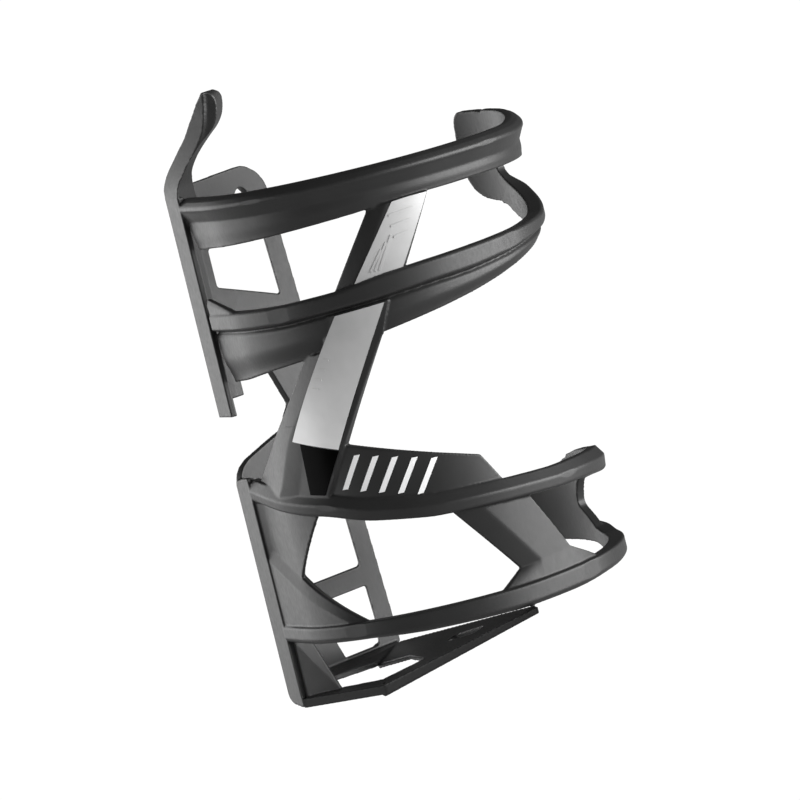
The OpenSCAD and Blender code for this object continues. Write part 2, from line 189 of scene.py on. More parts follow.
def add_solid(points, faces):
    solids.append((np.asarray(points, float), faces))


def skin(rings):
    """A closed skin through rings of points, capped at both ends."""
    n = len(rings[0])
    faces = []
    for i in range(len(rings) - 1):
        for j in range(n):
            k = (j + 1) % n
            faces.append((i * n + j, (i + 1) * n + j, (i + 1) * n + k, i * n + k))
    last = (len(rings) - 1) * n
    faces.append(tuple(range(n)))
    faces.append(tuple(last + j for j in reversed(range(n))))
    add_solid(np.concatenate([np.asarray(r, float) for r in rings]), faces)


def loop(section):
    """A loop from the spine to the end web; section turns a direction into (offset, height)."""
    start, end = ROOT_A - 0.8, LOOP_END
    skin([[shell(a, off, z) for off, z in section(a)]
          for a in np.linspace(start, end, int((end - start) / 1.5))])


def patch_rings(top, bottom, out, inner, nu, nv):
    us = np.linspace(0, 1, nu + 1)
    rings = []
    for v in np.linspace(0, 1, nv + 1):
        (top_a, top_z), (low_a, low_z) = top(us), bottom(us)
        a = top_a * (1 - v) + low_a * v
        z = top_z * (1 - v) + low_z * v
        back = inner(us, v) if callable(inner) else inner
        rings.append(np.concatenate([shell(a, out(us, v), z), shell(a, back, z)[::-1]]))
    return rings


def patch(top, bottom, out, inner=-WALL_T, nu=24, nv=24):
    """A panel of the wall between two lines, which turn a share u into a direction and height."""
    skin(patch_rings(top, bottom, out, inner, nu, nv))


def edge(a0, a1, height):
    """The line along a loop's edge from direction a0 to a1."""
    return lambda u: (a0 + (a1 - a0) * u, height(a0 + (a1 - a0) * u))


def straight(a0, z0, a1, z1):
    return lambda u: (a0 + (a1 - a0) * u, z0 + (z1 - z0) * u)


def thicken(flat, face_a, face_b):
    """Turns a flat bmesh, in (x, y), into a closed plate between two surfaces."""
    flat.verts.ensure_lookup_table()
    flat.verts.index_update()
    xy = np.array([v.co[:2] for v in flat.verts])
    n = len(xy)
    faces = []
    for f in flat.faces:
        idx = [v.index for v in f.verts]
        faces.append(tuple(idx))
        faces.append(tuple(i + n for i in reversed(idx)))
    for e in flat.edges:
        if len(e.link_faces) == 1:
            i, j = (v.index for v in e.verts)
            faces.append((i, j, j + n, i + n))
    add_solid(np.concatenate([face_a(xy), face_b(xy)]), faces)
    flat.free()


def rounded(points, r, steps=5):
    """The outline with each corner cut back by about r and rounded."""
    pts = [np.array(p, float) for p in points]
    out = []
    for i, p in enumerate(pts):
        a, b = pts[i - 1] - p, pts[(i + 1) % len(pts)] - p
        la, lb = np.linalg.norm(a), np.linalg.norm(b)
        cut = min(r, la * 0.45, lb * 0.45)
        s, e = p + a / la * cut, p + b / lb * cut
        for t in np.linspace(0, 1, steps):
            out.append((1 - t) ** 2 * s + 2 * t * (1 - t) * p + t * t * e)
    return out


def flat_shape(outline, holes=()):
    bm = bmesh.new()
    for ring in [outline, *holes]:
        vs = [bm.verts.new((p[0], p[1], 0)) for p in ring]
        for i, v in enumerate(vs):
            bm.edges.new((v, vs[(i + 1) % len(vs)]))
    bmesh.ops.triangle_fill(bm, use_beauty=True, use_dissolve=False, edges=bm.edges[:],
                            normal=(0, 0, 1))
    return bm


def plate(outline, holes=()):
    """The flat plate; the side bar's window edge is drafted toward the rear."""
    def at(y):
        return lambda xy: np.stack([xy[:, 0], np.full(len(xy), y), xy[:, 1]], -1)

    def rear(xy):
        on_edge = np.abs(xy[:, 0] - bar_near(xy[:, 1])) < 1.2
        return np.stack([xy[:, 0] - BAR_DRAFT * on_edge, np.zeros(len(xy)), xy[:, 1]], -1)
    thicken(flat_shape(outline, holes), at(PLATE_T), rear)


def bent_plate(outline, out=0.1, thickness=WALL_T + 0.1):
    """A plate that lies on the wall; outline is a list of (direction, height)."""
    bm = flat_shape([(a * MM_PER_DEG, z) for a, z in outline])
    for a in np.arange(min(p[0] for p in outline) + 1.5, max(p[0] for p in outline), 1.5):
        bmesh.ops.bisect_plane(bm, geom=bm.verts[:] + bm.edges[:] + bm.faces[:],
                               plane_co=(a * MM_PER_DEG, 0, 0), plane_no=(1, 0, 0), dist=1e-6)
    thicken(bm, lambda xy: shell(xy[:, 0] / MM_PER_DEG, out, xy[:, 1]),
            lambda xy: shell(xy[:, 0] / MM_PER_DEG, out - thickness, xy[:, 1]))


def slab(outline, lift):
    """A solid between an outline of points and the same outline moved by lift."""
    top = np.asarray(outline, float)
    skin([top, top + np.asarray(lift, float)])


def upright(section, z0, z1):
    slab([(x, y, z0) for x, y in section], (0, 0, z1 - z0))


# ---------------------------------------------------------------- loops
def upper_section(a):
    top, low, r = upper_top(a), upper_bottom(a), rib(a)
    low = min(low, top - 7.5)
    return [(-WALL_T + 0.4, top - 6.6), (-0.1, top - 6.4), (0.25, top - 5.8), (r - 0.3, top - 3.1),
            (r, top - 2.7), (r, top - 2.0), (r - 0.25, top - 1.6), (r - 0.95, top - 0.75), (-0.4, top),
            (-WALL_T + 0.3, top),
            (-WALL_T, top - 0.3), (-WALL_T, top - 6.4)]


def second_section(a):
    top, groove = second_top(a), second_groove(a)
    r = -1.0 + (rib(a) + 1.0) * smooth((a - ROOT_A - 0.8) / 1.6)
    return [(-WALL_T, groove - 1.4), (-0.9, groove - 1.4), (-0.6, groove), (r - 0.2, groove + 0.7),
            (r, groove + 1.0), (r, top - 0.6), (r - 0.5, top), (-WALL_T + 0.3, top),
            (-WALL_T, top - 0.3)]


def rim_section(a):
    top, low, r = rim_top(a), rim_bottom(a), rib(a)
    return [(-WALL_T, low), (r - 0.7, low), (r - 0.3, low + 0.4), (r, top - 2.9), (r, top - 2.4),
            (0.3, top), (-WALL_T + 0.3, top), (-WALL_T, top - 0.3)]


def band_section(a):
    top, low, r = band_top(a), band_bottom(a), rib(a)
    return [(-WALL_T, low), (r - 0.9, low), (r - 0.3, low + 0.5), (r, low + 1.0), (r, top - 0.3),
            (r - 0.3, top), (-WALL_T + 0.3, top), (-WALL_T, top - 0.3)]


def loop_wall(top, low, bevel, groove=0.0, near=0.25):
    """The lower part of a loop, whose near edge slopes away from the spine."""
    def out(u, v):
        a = ROOT_A + (LOOP_END - ROOT_A) * u
        below = v * (top(a) - low(a))
        return near - bevel * smooth((v - 0.45) / 0.55) - groove * (1 - np.clip(below / 1.1, 0, 1))
    patch(edge(ROOT_A + 0.1, LOOP_END, top), edge(ROOT_A + 3, LOOP_END, low), out, nu=140, nv=16)


for section in (upper_section, second_section, rim_section, band_section):
    loop(section)
loop_wall(lambda a: upper_top(a) - 5.4, upper_bottom, 0.35)
loop_wall(lambda a: second_groove(a) + 0.1, second_bottom, 1.1, 0.8)

# ---------------------------------------------------------------- struts and walls
CREASE = 0.31
STRUT_FACE = 0.7


def strut_out(u, v):
    return np.minimum(-0.9 + 1.6 * u / CREASE, STRUT_FACE)


def diagonal_out(u, v):
    """The near facet broadens toward the foot and ends in a raised crease."""
    low = smooth((v - 0.5) / 0.5)
    crease = CREASE + 0.19 * low
    peak = STRUT_FACE + 0.8 * low
    rise = -0.9 + (peak + 0.9) * u / crease
    fall = peak - (peak - STRUT_FACE) * np.clip((u - crease) / 0.2, 0, 1)
    return np.where(u < crease, rise, fall)


def swollen(top, bottom, swell):
    """Rings of the diagonal strut, whose near edge bows outward."""
    us = np.linspace(0, 1, 41)
    rings = []
    for v in np.linspace(-0.02, 1.02, 50):
        (top_a, top_z), (low_a, low_z) = top(us), bottom(us)
        bow = swell * math.sin(math.pi * min(max(v, 0), 1)) * (1 - us)
        a = top_a * (1 - v) + low_a * v + bow
        z = top_z * (1 - v) + low_z * v
        rings.append(np.concatenate([shell(a, diagonal_out(us, v), z), shell(a, -WALL_T, z)[::-1]]))
    return rings


patch(edge(40.2, 62, lambda a: upper_bottom(a) + 0.05), edge(21, 47.5, lambda a: second_top(a) - SINK),
      strut_out)
patch(edge(40.2, 62, lambda a: upper_bottom(a) + SINK), edge(39, 61, lambda a: upper_bottom(a) - SINK),
      lambda u, v: strut_out(u, v) - 1.2)
skin(swollen(edge(3.5, 35.3, second_bottom), edge(-47, 1, lambda a: rim_top(a) - SINK), 4.5))
patch(edge(17, 40, lambda a: second_groove(a) - 0.5), edge(12.3, 35.3, lambda a: second_bottom(a) - 0.4),
      lambda u, v: STRUT_FACE - 0.5 * (1 - smooth(u / 0.25)), -0.5)
patch(straight(8.6, -25.9, 58, -36.1), edge(-1.3, 64.6, lambda a: rim_top(a) - SINK),
      lambda u, v: 0 * u, nu=40)

# wall between the rim and the lower band; it thins out toward its free edge
WALL_A = ROOT_A - 0.6
WAIST_A = -26.5
WAIST_Z = -57.0
WEDGE_OUT = 1.1
CREASE_START = (WALL_A, -52.4)
CREASE_END = (-1.0, -69.4)


def thinned(u, v):
    return -WALL_T + 1.4 * smooth((u - 0.8) / 0.2)


def thin_top(u, v):
    return -WALL_T + 1.4 * (1 - smooth(v / 0.3)) + 0 * u


def rooted(u, v):
    """Flat on the wall, lifted where it meets the spine's flange."""
    return 0.8 * (1 - smooth(u / 0.14))


def level(height):
    return lambda u, v: height + 0 * u


patch(edge(WALL_A, -6, lambda a: rim_bottom(a) + SINK), straight(WALL_A, WAIST_Z, WAIST_A, WAIST_Z),
      rooted, thinned, nu=60)
patch(straight(WALL_A, WAIST_Z, WAIST_A, WAIST_Z), edge(WALL_A, 5, lambda a: band_top(a) - SINK),
      rooted, thinned, nu=60)
# the wedge's flat face, and the facet that falls from its crease to the wall's free edge
patch(straight(*CREASE_START, *CREASE_END), edge(WALL_A, -1, lambda a: band_top(a) - SINK),
      level(WEDGE_OUT), nu=60, nv=40)
WAIST_U = 0.62


def facet_top(u):
    a = np.interp(u, [0, WAIST_U, 1], [WALL_A, WAIST_A, 5.0])
    return a, np.interp(u, [0, WAIST_U, 1], [-49.0, WAIST_Z, -69.4])


patch(facet_top, straight(*CREASE_START, *CREASE_END), lambda u, v: -0.05 + (WEDGE_OUT + 0.05) * v + 0 * u,
      thin_top, nu=60, nv=30)

KNEE_A = 63.2
KNEE_W = 21.2
KNEE_Z = -65.0


def lower_out(u, v):
    return np.minimum(-1.2 + 1.6 * u / 0.36, 0.4)


knee = straight(KNEE_A, KNEE_Z, KNEE_A + KNEE_W, KNEE_Z + 1.6)
patch(edge(42.8, 71.5, lambda a: rim_bottom(a) + SINK), knee, lower_out)
patch(knee, edge(54, 99, lambda a: band_top(a) - 0.4),
      lambda u, v: lower_out(u, v) * (1 - v) + 0.6 * v, nu=40, nv=12)

# webs at the free ends
UPPER_WEB = [(147, 38.1), (147, 30), (153.5, 28.5), (157.5, 26.8), (158.6, 25.2), (157.6, 23.7),
             (155, 22.3), (152, 20.4), (148, 17.5), (148, 13.2), (153.7, 13.8), (155.4, 15), (156.5, 16.2),
             (164.8, 17), (169.6, 17.8), (172.6, 19), (174.8, 20.4), (176.3, 22), (177.4, 24),
             (177.9, 27), (178, 33), (177.4, 37), (176.4, 38.7), (174.6, 39.6), (165, 39.4),
             (158, 38.6)]
LOWER_WEB = [(147, -47.4), (147, -51.8), (152.5, -52.5), (155.6, -53.8), (158, -56.4), (159.1, -58.8),
             (158.4, -60.2), (155.5, -61.8), (149, -65.4), (147, -69.4), (157, -68.6), (173, -67.8),
             (184, -67.4), (186.5, -65.5), (187.5, -62), (187, -58), (184, -55), (176, -52),
             (167, -49.3), (162.5, -47.9), (157.5, -47.2)]
bent_plate(rounded(UPPER_WEB, 1.2, 4))
bent_plate(rounded(LOWER_WEB, 1.4, 4))

# ---------------------------------------------------------------- flat plate with its windows
NEAR_X = 16.6
FOOT_Z = -83.5
FLANGE_BACK = straight_x(PLATE_T, FLANGE_IN)
BOLT_Z = 32.0
BOLT_R = 2.65
BAR_DRAFT = 1.7


def bar_near(z):
    return -4.4 - 0.0625 * (24 - z)


def bar_far(z):
    return -10.8 - 0.066 * (24 - z)


def on_bar(line, *heights):
    return [(line(z), z) for z in heights]


def bolt_ring(z):
    return [(BOLT_R * math.cos(t), z + BOLT_R * math.sin(t)) for t in np.linspace(0, 2 * math.pi, 41)[:-1]]


outline = [(NEAR_X + 1.5, 39.3), (-1.8, 39.7), (-4.5, 39), (-7.6, 37.2), (-9.6, 34.6), (-10.8, 30.7),
           *on_bar(bar_far, 22.9, -10, -46), (bar_far(FOOT_Z), FOOT_Z - 0.6),
           (SPINE_X - 0.2, FOOT_Z - 0.6), (SPINE_X, -34), (25, -31.8), (23.4, -29.9), (20.8, -28.5),
           (11, -25.9), (5.5, -24.6), (0.4, -19.3), (4.6, -10), (NEAR_X, -6), (NEAR_X + 1.5, -6)]
upper_window = [(NEAR_X, 22.9), (NEAR_X, 13.4), *on_bar(bar_near, 6.8, 22.9)]
middle_window = [(FLANGE_BACK - 0.4, -46), (FLANGE_BACK - 0.4, -62.8), *on_bar(bar_near, -62.8, -46)]
corner_window = [(11.2, -67.8), (5.7, -77.7), (3.4, -82.8), (bar_near(-82.8) + 1.2, -82.8),
                 *on_bar(bar_near, -77, -67.8)]
plate(rounded(outline, 1.0),
      [rounded(upper_window, 0.9), rounded(middle_window, 1.2), rounded(corner_window, 0.9),
       bolt_ring(BOLT_Z), bolt_ring(-BOLT_Z)])


# ---------------------------------------------------------------- spine
def front(off):
    return tuple(shell(ROOT_A, off, 0)[:2])


GROOVE_X = SPINE_X - 4.7
GROOVE_Y = 1.2
UPPER_TOP_Z = 37.0
flange = [(SPINE_X, 0), front(SPINE_OFF), front(FLANGE_IN), (straight_x(0, FLANGE_IN), 0)]
channel = [(GROOVE_X - 0.2, 0), (GROOVE_X - 0.2, GROOVE_Y),
           (straight_x(GROOVE_Y, FLANGE_IN) + 0.2, GROOVE_Y), (SPINE_X - 0.5, 0)]
land = [(GROOVE_X, 0), (GROOVE_X, GROOVE_Y), (GROOVE_X - 1.6, PLATE_T), (NEAR_X, PLATE_T), (NEAR_X, 0)]
upright(flange, -16.8, UPPER_TOP_Z + 0.5)
upright(channel, -16.8, UPPER_TOP_Z + 0.5)
upright(land, -13.4, UPPER_TOP_Z)

# the lower flange, seen from the side, is a plate that leans with the straight wall
side = rounded([(0, -32.8), (0, -87.0), (1.8, -88.4), (SPINE_D, -89.3), (SPINE_D, -32.0),
                (3.5, -32.2)], 0.8)
skin([[(straight_x(y, off), y, z) for y, z in side] for off in (SPINE_OFF, FLANGE_IN)])


def on_wall(a, off):
    return tuple(shell(a, off, 0)[:2])


# fillet between the plate's corner and the rim's root
upright([(20.5, 1), (24.8, 1), front(SPINE_OFF - 0.3), on_wall(-44, -0.5), on_wall(-44, -2)], -36, -33.4)
upright([front(SPINE_OFF - 0.2), on_wall(-50, 0.7), on_wall(-50, -1.8), front(FLANGE_IN - 1.5)], -36, -32.9)

# second loop's root gusset, with a bevel along its top
patch(straight(ROOT_A + 2.0, 12.4, ROOT_A + 27, 8.6),
      edge(ROOT_A + 2.6, ROOT_A + 24, lambda a: second_top(a) - 1.6),
      lambda u, v: 1.25 - 0.4 * (1 - smooth(v / 0.25)) + 0.2 * u, -0.2, nu=40, nv=30)

# ---------------------------------------------------------------- retaining tab
# rear edge's depth and height, front edge's, how far the front stands out, inner side's x, bulge
TAB = [(0, 36, 6.9, 36, 3.7, 17.4, 0), (0, 38, 7.2, 38, 3.6, 17.8, 0), (0.4, 40.2, 7.8, 40.4, 3.1, 18.6, 0),
       (2.4, 43.3, 9.8, 43.1, 2.4, 20.4, 0), (6.2, 47.1, 12.7, 46.4, 1.6, 21, 0),
       (10.4, 51.1, 15.8, 49.9, 0.9, 20.2, 0.6), (12.6, 53.8, 17.4, 52.5, 0.5, 19.2, 2.0),
       (14.8, 56.4, 18.4, 55.3, 0.3, 18.6, 2.6), (17, 59.1, 19.1, 58.4, 0, 18.8, 2.3),
       (18.4, 60.5, 19.5, 60.1, 0, 19.6, 1.4), (19.0, 61.2, 19.6, 61, 0, 21, 0.3)]
STRIP = 0.9


def spline(rows, n):
    rows = np.array(rows, float)
    padded = np.vstack([2 * rows[0] - rows[1], rows, 2 * rows[-1] - rows[-2]])
    out = []
    for x in np.linspace(0, len(rows) - 1, n):
        i = min(int(x), len(rows) - 2)
        f = x - i
        p = padded[i:i + 4]
        out.append(0.5 * (2 * p[1] + (p[2] - p[0]) * f + (2 * p[0] - 5 * p[1] + 4 * p[2] - p[3]) * f * f
                          + (3 * p[1] - p[0] - 3 * p[2] + p[3]) * f ** 3))
    return out


def tab_ring(rear_y, rear_z, front_y, front_z, stand, inner_x, bulge):
    depth = front_y - rear_y
    slope = (front_z - rear_z) / max(depth, 0.3)
    corner = np.array([SPINE_X + stand, front_y])
    strip = corner + np.array([-1, 0.14]) * STRIP * min(1, bulge)
    nose = strip + np.array([-0.57, 0.82]) * bulge
    inner_y = rear_y + 0.75 * depth - 0.6 * stand
    inner = np.array([min(inner_x, nose[0] - 0.8), inner_y + 0.45 * bulge])
    plan = [(SPINE_X, rear_y), corner, strip, nose, inner, (inner[0], rear_y)]
    return [(x, y, rear_z + slope * min(max(y - rear_y, 0), depth)) for x, y in plan]


skin([tab_ring(*row) for row in spline(TAB, 60)])

# ---------------------------------------------------------------- floor under the bottle
RAIL_Z = -87.1
RAIL_IN = 18.2
EDGE_IN = SPINE_X - 2.4
TONGUE_T = 1.2
SLOT_R = 1.5


def floor_z(x, y):
    return -87.9 - 0.249 * x + 0.239 * y


def slot_ring(x0, y0, x1, y1, r):
    d = math.atan2(y1 - y0, x1 - x0)
    ring = []
    for x, y, turn in ((x1, y1, d - math.pi / 2), (x0, y0, d + math.pi / 2)):
        ring += [(x + r * math.cos(t), y + r * math.sin(t)) for t in np.linspace(turn, turn + math.pi, 12)]
    return ring


def tongue(drop):
    return lambda xy: np.stack([xy[:, 0], xy[:, 1], floor_z(xy[:, 0], xy[:, 1]) - drop], -1)


TONGUE = [(EDGE_IN + 0.6, 29.5), (18.6, 76.4), (15.8, 71.5), (-14.2, 4.9), (-0.5, 7.5), (6.5, 24.2),
          (17.6, 38.1), (RAIL_IN, 24)]
thicken(flat_shape(rounded(TONGUE, 1.0), [slot_ring(10, 42, 14, 53, SLOT_R)]),
        tongue(0), tongue(TONGUE_T))
strap = [[(25.5, 29.4, 0), (23.1, 29.4, 0), (23.1, 29.4, 2.8), (25.5, 29.4, 2.8)],
         [(20.4, 78.3, 0), (18, 75.4, 0), (18, 75.4, 2), (20.4, 78.3, 1.6)]]
skin([[(x, y, floor_z(x, y) - drop) for x, y, drop in ring] for ring in strap])
slab([(*front(SPINE_OFF - 0.1), RAIL_Z), (SPINE_X, 30.2, RAIL_Z), (RAIL_IN, 24.2, -86.7),
      (RAIL_IN, 8, RAIL_Z - 0.3), (*front(FLANGE_IN - 1.5), RAIL_Z)], (0, 0, -2.3))
slab([(bar_far(FOOT_Z), 0, FOOT_Z), (flange[3][0], 0, FOOT_Z), (FLANGE_BACK, PLATE_T, FOOT_Z),
      (RAIL_IN, 8, -84.6), (0, 7.4, -85.4), (-14.5, 4.7, -83.6)], (0, 0, -TONGUE_T))
near = np.array(front(FLANGE_IN))
gusset = [[(*(near + (0.4, 0.3)), -73), (24.1, 9.5, -73), (22.9, 8.7, -73), (*(near - (0.6, 1)), -73)],
          [(*(near + (0.4, 0.3)), RAIL_Z - 0.5), (20.7, 13.0, RAIL_Z - 0.5), (19.4, 12.2, RAIL_Z - 0.5),
           (*(near - (0.6, 1)), RAIL_Z - 0.5)]]
skin(gusset)


# ---------------------------------------------------------------- one moulding out of the solids
def mesh_object(name, points, faces):
    mesh = bpy.data.meshes.new(name)
    mesh.from_pydata(points.tolist(), [], faces)
    mesh.update()
    o = bpy.data.objects.new(name, mesh)
    bpy.context.scene.collection.objects.link(o)
    return o


def merged():
    points, faces, base = [], [], 0
    for p, f in solids:
        points.append(p)
        faces += [tuple(i + base for i in face) for face in f]
        base += len(p)
    return np.concatenate(points), faces


def fuse():
    o = mesh_object("cage_rough", *merged())
    bm = bmesh.new()
    bm.from_mesh(o.data)
    bmesh.ops.recalc_face_normals(bm, faces=bm.faces[:])
    bm.to_mesh(o.data)
    bm.free()
    remesh = o.modifiers.new("remesh", "REMESH")
    remesh.mode = "VOXEL"
    remesh.voxel_size = VOXEL
    bpy.context.view_layer.update()
    done = bpy.data.meshes.new_from_object(o.evaluated_get(bpy.context.evaluated_depsgraph_get()))
    bpy.data.objects.remove(o)
    return done


def relax(co, edges, rounds):
    """Smooths without shrinking: each round pulls in and then pushes back out."""
    n = len(co)
    count = np.bincount(edges.ravel(), minlength=n).reshape(-1, 1)
    for i in range(rounds):
        for share in (0.5, -0.52):
            total = np.stack([np.bincount(edges[:, 0], co[edges[:, 1], k], n)
                              + np.bincount(edges[:, 1], co[edges[:, 0], k], n) for k in range(3)], -1)
            co = co + share * (total / count - co)
    return co


def moulding():
    """Points, in metres and kept inside the plain part's box, and four-sided faces."""
    mesh = fuse()
    co = np.zeros(len(mesh.vertices) * 3)
    mesh.vertices.foreach_get("co", co)
    edges = np.zeros(len(mesh.edges) * 2, np.int64)
    mesh.edges.foreach_get("vertices", edges)
    co = relax(co.reshape(-1, 3), edges.reshape(-1, 2), RELAX_ROUNDS) * MM
    quads = np.array([tuple(p.vertices) for p in mesh.polygons if len(p.vertices) == 4])
    return np.clip(co, cad_box[0], cad_box[1]), quads


def half(name, points, quads):
    ids, faces = np.unique(quads, return_inverse=True)
    o = mesh_object(name, points[ids], faces.reshape(-1, 4).tolist())
    bm = bmesh.new()
    bm.from_mesh(o.data)
    made = bmesh.ops.holes_fill(bm, edges=[e for e in bm.edges if e.is_boundary], sides=0)["faces"]
    for f in bm.faces:
        f.smooth = True
    for f in made:
        f.smooth = False
        for e in f.edges:
            e.smooth = False
    bm.to_mesh(o.data)
    bm.free()
    return o


points, quads = moulding()
middle = points[quads][:, :, 2].mean(1)
upper = half("cage_upper", points, quads[middle > SPLIT_Z * MM])
lower = half("cage_lower", points, quads[middle <= SPLIT_Z * MM])

# ---------------------------------------------------------------- foils and print
BED = 0.6
FOIL_TOP = 0.9


def decal(name, build):
    """A thin smooth piece on its own; build adds its solids."""
    solids.clear()
    build()
    pts, faces = merged()
    o = mesh_object(name, pts * MM, faces)
    bm = bmesh.new()
    bm.from_mesh(o.data)
    bmesh.ops.recalc_face_normals(bm, faces=bm.faces[:])
    for f in bm.faces:
        f.smooth = True
    for e in bm.edges:
        e.smooth = e.calc_face_angle(0) < math.radians(30)
    bm.to_mesh(o.data)
    bm.free()
    return o


def foil_face(u, v):
    return FOIL_TOP + 0 * u


EMBOSS = 0.16
LINE_W = 0.55


def raised_line(a0, z0, a1, z1):
    """A thin embossed line on a foil."""
    way = np.array([(a1 - a0) * MM_PER_DEG, z1 - z0])
    side_a, side_z = np.array([-way[1], way[0]]) / np.linalg.norm(way) * LINE_W / 2
    side_a /= MM_PER_DEG
    patch(straight(a0 - side_a, z0 - side_z, a0 + side_a, z0 + side_z),
          straight(a1 - side_a, z1 - side_z, a1 + side_a, z1 + side_z),
          level(FOIL_TOP + EMBOSS), FOIL_TOP - 0.05, nu=2, nv=16)


def upper_foil():
    patch(edge(48.6, 61.5, lambda a: upper_bottom(a) - 0.1),
          edge(29.8, 47.2, lambda a: second_top(a) + 0.1), foil_face, BED)
    for k in range(3):
        raised_line(41.4 + 2.2 * k, 17.0 + 1.4 * k, 36.2 + 1.5 * k, 12.4)
        raised_line(46.5, 24.4 - 2.6 * k, 55.5 - 1.8 * k, 24.9 - 2.6 * k)


def lower_foil():
    patch(edge(20.5, 38.2, lambda a: second_groove(a) - 0.9), straight(-9, -23.6, 9.8, -27.2),
          foil_face, BED, nv=40)
    for k in range(4):
        raised_line(12.2 - 2.2 * k, -5.6 - 2.1 * k, 14.6 - 2.2 * k, -5.9 - 2.1 * k)


def black_foil():
    patch(straight(-5.6, -24.5, 9.8, -27.6), straight(-6.6, -36.9, 0, -37.5), foil_face, BED)


BAR_COUNT = 5
BAR_STEP = 6.6
BAR_DROP = 1.15


def label_print():
    for i in range(BAR_COUNT):
        a, z = 7 + BAR_STEP * i, -BAR_DROP * i
        patch(straight(a + 7.6, z - 29.4, a + 9.8, z - 29.4), straight(a, z - 37, a + 2.2, z - 37),
              lambda u, v: 0.12 + 0 * u, -0.1, nu=4, nv=12)


foil_pieces = [decal("foil_upper", upper_foil), decal("foil_lower", lower_foil)]
black_piece = decal("foil_black", black_foil)
print_piece = decal("print_bars", label_print)


# ---------------------------------------------------------------- materials
def material(name):
    m = bpy.data.materials.new(name)
    m.use_nodes = True
    nodes = m.node_tree.nodes
    return m, nodes, m.node_tree.links, nodes["Principled BSDF"]


def noise(nodes, links, scale, detail=2.0, stretch=(1, 1, 1)):
    coords = nodes.new("ShaderNodeTexCoord")
    mapping = nodes.new("ShaderNodeMapping")
    links.new(coords.outputs["Object"], mapping.inputs["Vector"])
    mapping.inputs["Scale"].default_value = stretch
    tex = nodes.new("ShaderNodeTexNoise")
    tex.inputs["Scale"].default_value = scale
    tex.inputs["Detail"].default_value = detail
    links.new(mapping.outputs["Vector"], tex.inputs["Vector"])
    return tex.outputs["Fac"]


def spread(nodes, links, value, low, high):
    ramp = nodes.new("ShaderNodeMapRange")
    for socket, number in (("From Min", 0.3), ("From Max", 0.7), ("To Min", low), ("To Max", high)):
        ramp.inputs[socket].default_value = number
    links.new(value, ramp.inputs["Value"])
    return ramp.outputs["Result"]


def tint(nodes, links, value, dark, light):
    ramp = nodes.new("ShaderNodeValToRGB")
    for stop, position, grey in zip(ramp.color_ramp.elements, (0.3, 0.7), (dark, light)):
        stop.position = position
        stop.color = (grey, grey, grey, 1)
    links.new(value, ramp.inputs["Fac"])
    return ramp.outputs["Color"]


def bump(nodes, links, value, strength, distance, shader):
    b = nodes.new("ShaderNodeBump")
    b.inputs["Strength"].default_value = strength
    b.inputs["Distance"].default_value = distance
    links.new(value, b.inputs["Height"])
    links.new(b.outputs["Normal"], shader.inputs["Normal"])


def make_carbon():
    m, nodes, links, shader = material("carbon_satin")
    cloud = noise(nodes, links, 90.0)
    grain = noise(nodes, links, 2600.0, stretch=(1, 1, 0.25))
    links.new(tint(nodes, links, cloud, 0.014, 0.018), shader.inputs["Base Color"])
    links.new(spread(nodes, links, grain, 0.4, 0.5), shader.inputs["Roughness"])
    bump(nodes, links, grain, 0.12, 0.00002, shader)
    shader.inputs["Specular IOR Level"].default_value = 0.38
    return m


PAINTED_SHEEN_FOOT_GREY = 0.76        # painted highlight: the foils' grey is lighter at the lower one's foot and darker above its middle, standing in for reflected light
PAINTED_SHEEN_TOP_GREY = 0.42
PAINTED_SHEEN_FOOT_Z = -0.025   # metres
PAINTED_SHEEN_TURN_Z = 0.0


def make_foil():
    m, nodes, links, shader = material("brushed_foil")
    lines = noise(nodes, links, 700.0, 3.0, (8, 8, 0.6))
    coords = nodes.new("ShaderNodeTexCoord")
    place = nodes.new("ShaderNodeSeparateXYZ")
    links.new(coords.outputs["Object"], place.inputs["Vector"])
    # painted highlight: the base grey runs by height from light at the foot to darker above, standing in
    # for reflected light
    height = nodes.new("ShaderNodeMapRange")
    for socket, number in (("From Min", PAINTED_SHEEN_FOOT_Z), ("From Max", PAINTED_SHEEN_TURN_Z),
                           ("To Min", PAINTED_SHEEN_FOOT_GREY), ("To Max", PAINTED_SHEEN_TOP_GREY)):
        height.inputs[socket].default_value = number
    links.new(place.outputs["Z"], height.inputs["Value"])
    cloud = spread(nodes, links, noise(nodes, links, 160.0), 0.95, 1.05)
    shade = nodes.new("ShaderNodeMath")
    shade.operation = "MULTIPLY"
    links.new(height.outputs["Result"], shade.inputs[0])
    links.new(cloud, shade.inputs[1])
    links.new(shade.outputs["Value"], shader.inputs["Base Color"])
    links.new(spread(nodes, links, lines, 0.34, 0.44), shader.inputs["Roughness"])
    bump(nodes, links, lines, 0.06, 0.00001, shader)
    shader.inputs["Metallic"].default_value = 0.15
    return m


def make_black():
    m, nodes, links, shader = material("gloss_black")
    cloud = noise(nodes, links, 300.0)
    links.new(tint(nodes, links, cloud, 0.0003, 0.0005), shader.inputs["Base Color"])
    links.new(spread(nodes, links, cloud, 0.22, 0.26), shader.inputs["Roughness"])
    shader.inputs["Specular IOR Level"].default_value = 0.02
    return m


def make_white():
    m, nodes, links, shader = material("print_white")
    cloud = noise(nodes, links, 1500.0)
    links.new(tint(nodes, links, cloud, 0.93, 0.97), shader.inputs["Base Color"])
    links.new(spread(nodes, links, cloud, 0.5, 0.62), shader.inputs["Roughness"])
    return m


def paint(o, m):
    o.data.materials.clear()
    o.data.materials.append(m)


carbon, foil, black, white = make_carbon(), make_foil(), make_black(), make_white()
node_looks = {"upper_foil": foil, "lower_foil": foil, "black_foil": black, "label_print": white}
for name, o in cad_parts.items():
    paint(o, node_looks.get(name, carbon))
